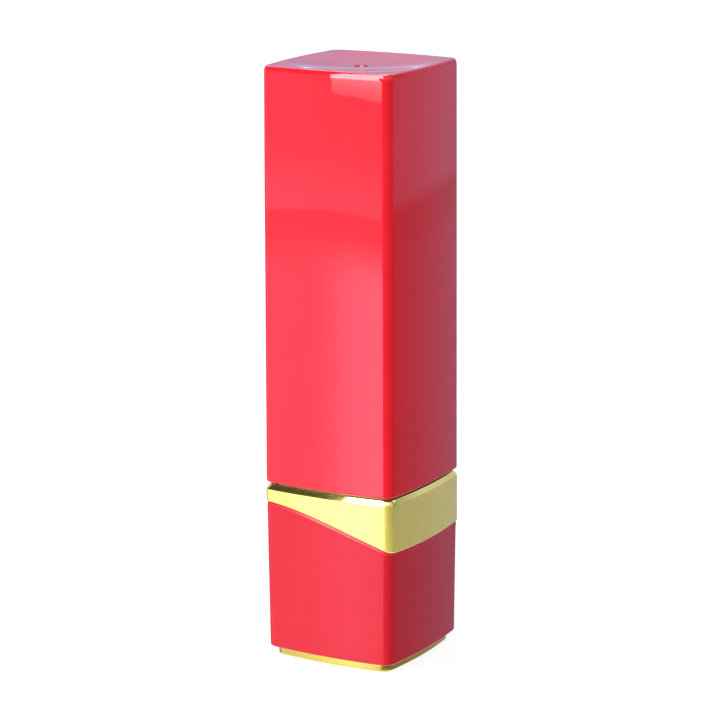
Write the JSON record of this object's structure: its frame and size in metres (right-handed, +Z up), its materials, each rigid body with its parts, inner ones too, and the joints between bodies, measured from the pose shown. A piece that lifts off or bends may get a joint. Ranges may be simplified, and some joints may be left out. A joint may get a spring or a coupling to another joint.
{
  "type": "lipstick case",
  "caption": "Square twist-up lipstick case: lift-off glossy red cap, slanted gold collar, red base, and a turning neck that raises the lipstick.",
  "frame": {"origin": "centre of the case's underside, on the surface that it stands on", "axes": "+Z up along the case's axis; the collar is narrow on the -X face and wide on the +X face; +Y completes the right-handed frame"},
  "size_m": [0.02, 0.02, 0.0784],
  "materials": {
    "red_gloss": "high gloss moulded plastic",
    "red_satin": "semi-gloss moulded plastic",
    "gold_plated": "satin pale gold plating with polished edges",
    "gold_anodised": "bright gold anodised",
    "natural_plastic": "natural moulded plastic",
    "black_plastic": "matte",
    "elastomer": "matte",
    "steel": "plain turned",
    "lipstick_wax": "creamy satin wax"
  },
  "bodies": {
    "base": {"base_shell": "red_satin", "wave_collar": "gold_plated", "bottom_plate": "gold_plated", "base_weight": "steel", "base_core": "black_plastic", "guide_tube": "natural_plastic", "brake_ring": "elastomer"},
    "neck": {"neck_shell": "gold_anodised", "cam_sleeve": "natural_plastic"},
    "carrier": {"bullet_cup": "natural_plastic", "lipstick_bullet": "lipstick_wax"},
    "cap": {"cap_shell": "red_gloss", "cap_liner": "natural_plastic"}
  },
  "joints": [
    {"name": "neck_turn", "type": "hinge", "parent": "base", "child": "neck", "pos_m": [0, 0, 0.034], "axis": [0, 0, -1], "range_deg": [0, 720]},
    {"name": "carrier_rise", "type": "slide", "parent": "base", "child": "carrier", "axis": [0, 0, 1], "range_m": [0, 0.024]},
    {"name": "cap_lift", "type": "slide", "parent": "base", "child": "cap", "axis": [0, 0, 1], "range_m": [0, 0.055]}
  ],
  "couplings": [
    {"joint": "carrier_rise", "follows": "neck_turn", "m_per_rad": 0.0019099}
  ]
}
